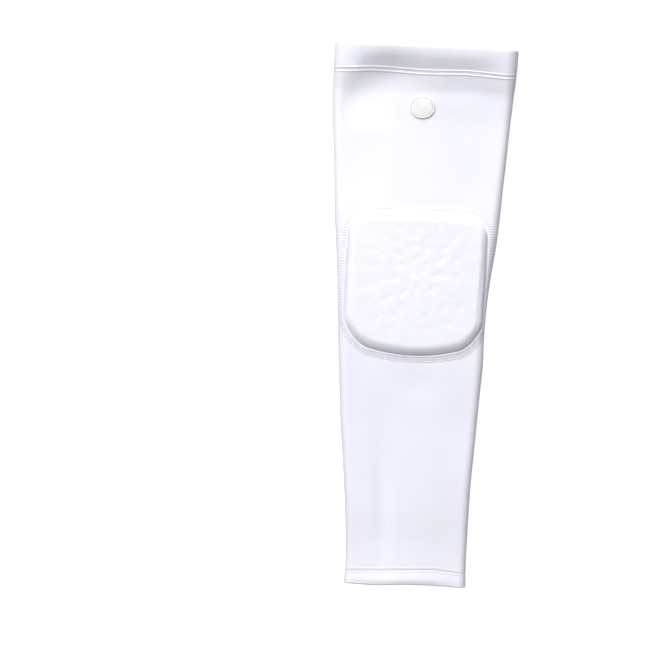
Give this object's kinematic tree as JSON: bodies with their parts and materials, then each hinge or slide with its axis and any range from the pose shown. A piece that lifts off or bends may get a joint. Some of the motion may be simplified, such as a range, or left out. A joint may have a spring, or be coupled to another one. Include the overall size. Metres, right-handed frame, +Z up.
{
  "type": "padded arm sleeve",
  "caption": "Long tapered knit arm sleeve with a hemmed mouth at each end and a raised foam elbow pad sewn to its front, lying flat.",
  "frame": {"origin": "below the middle of the sleeve's bounding box, on the surface that it lies on", "axes": "+Z up, out of the pad's face; +Y along the sleeve towards the upper arm; +X across the sleeve"},
  "size_m": [0.1324, 0.3908, 0.0227],
  "materials": {
    "sleeve_knit": "smooth stretch knit, faint sheen",
    "hem_knit": "smooth stretch knit, turned under and sewn",
    "pad_fabric": "stretch fabric bonded to foam, soft relief",
    "foam": "matte closed-cell foam",
    "silicone": "satin raised silicone"
  },
  "bodies": {
    "root": {"sleeve_tube": "sleeve_knit", "upper_hem": "hem_knit", "wrist_hem": "hem_knit", "pad_cover": "pad_fabric", "foam_core": "foam", "badge": "silicone"}
  },
  "joints": []
}
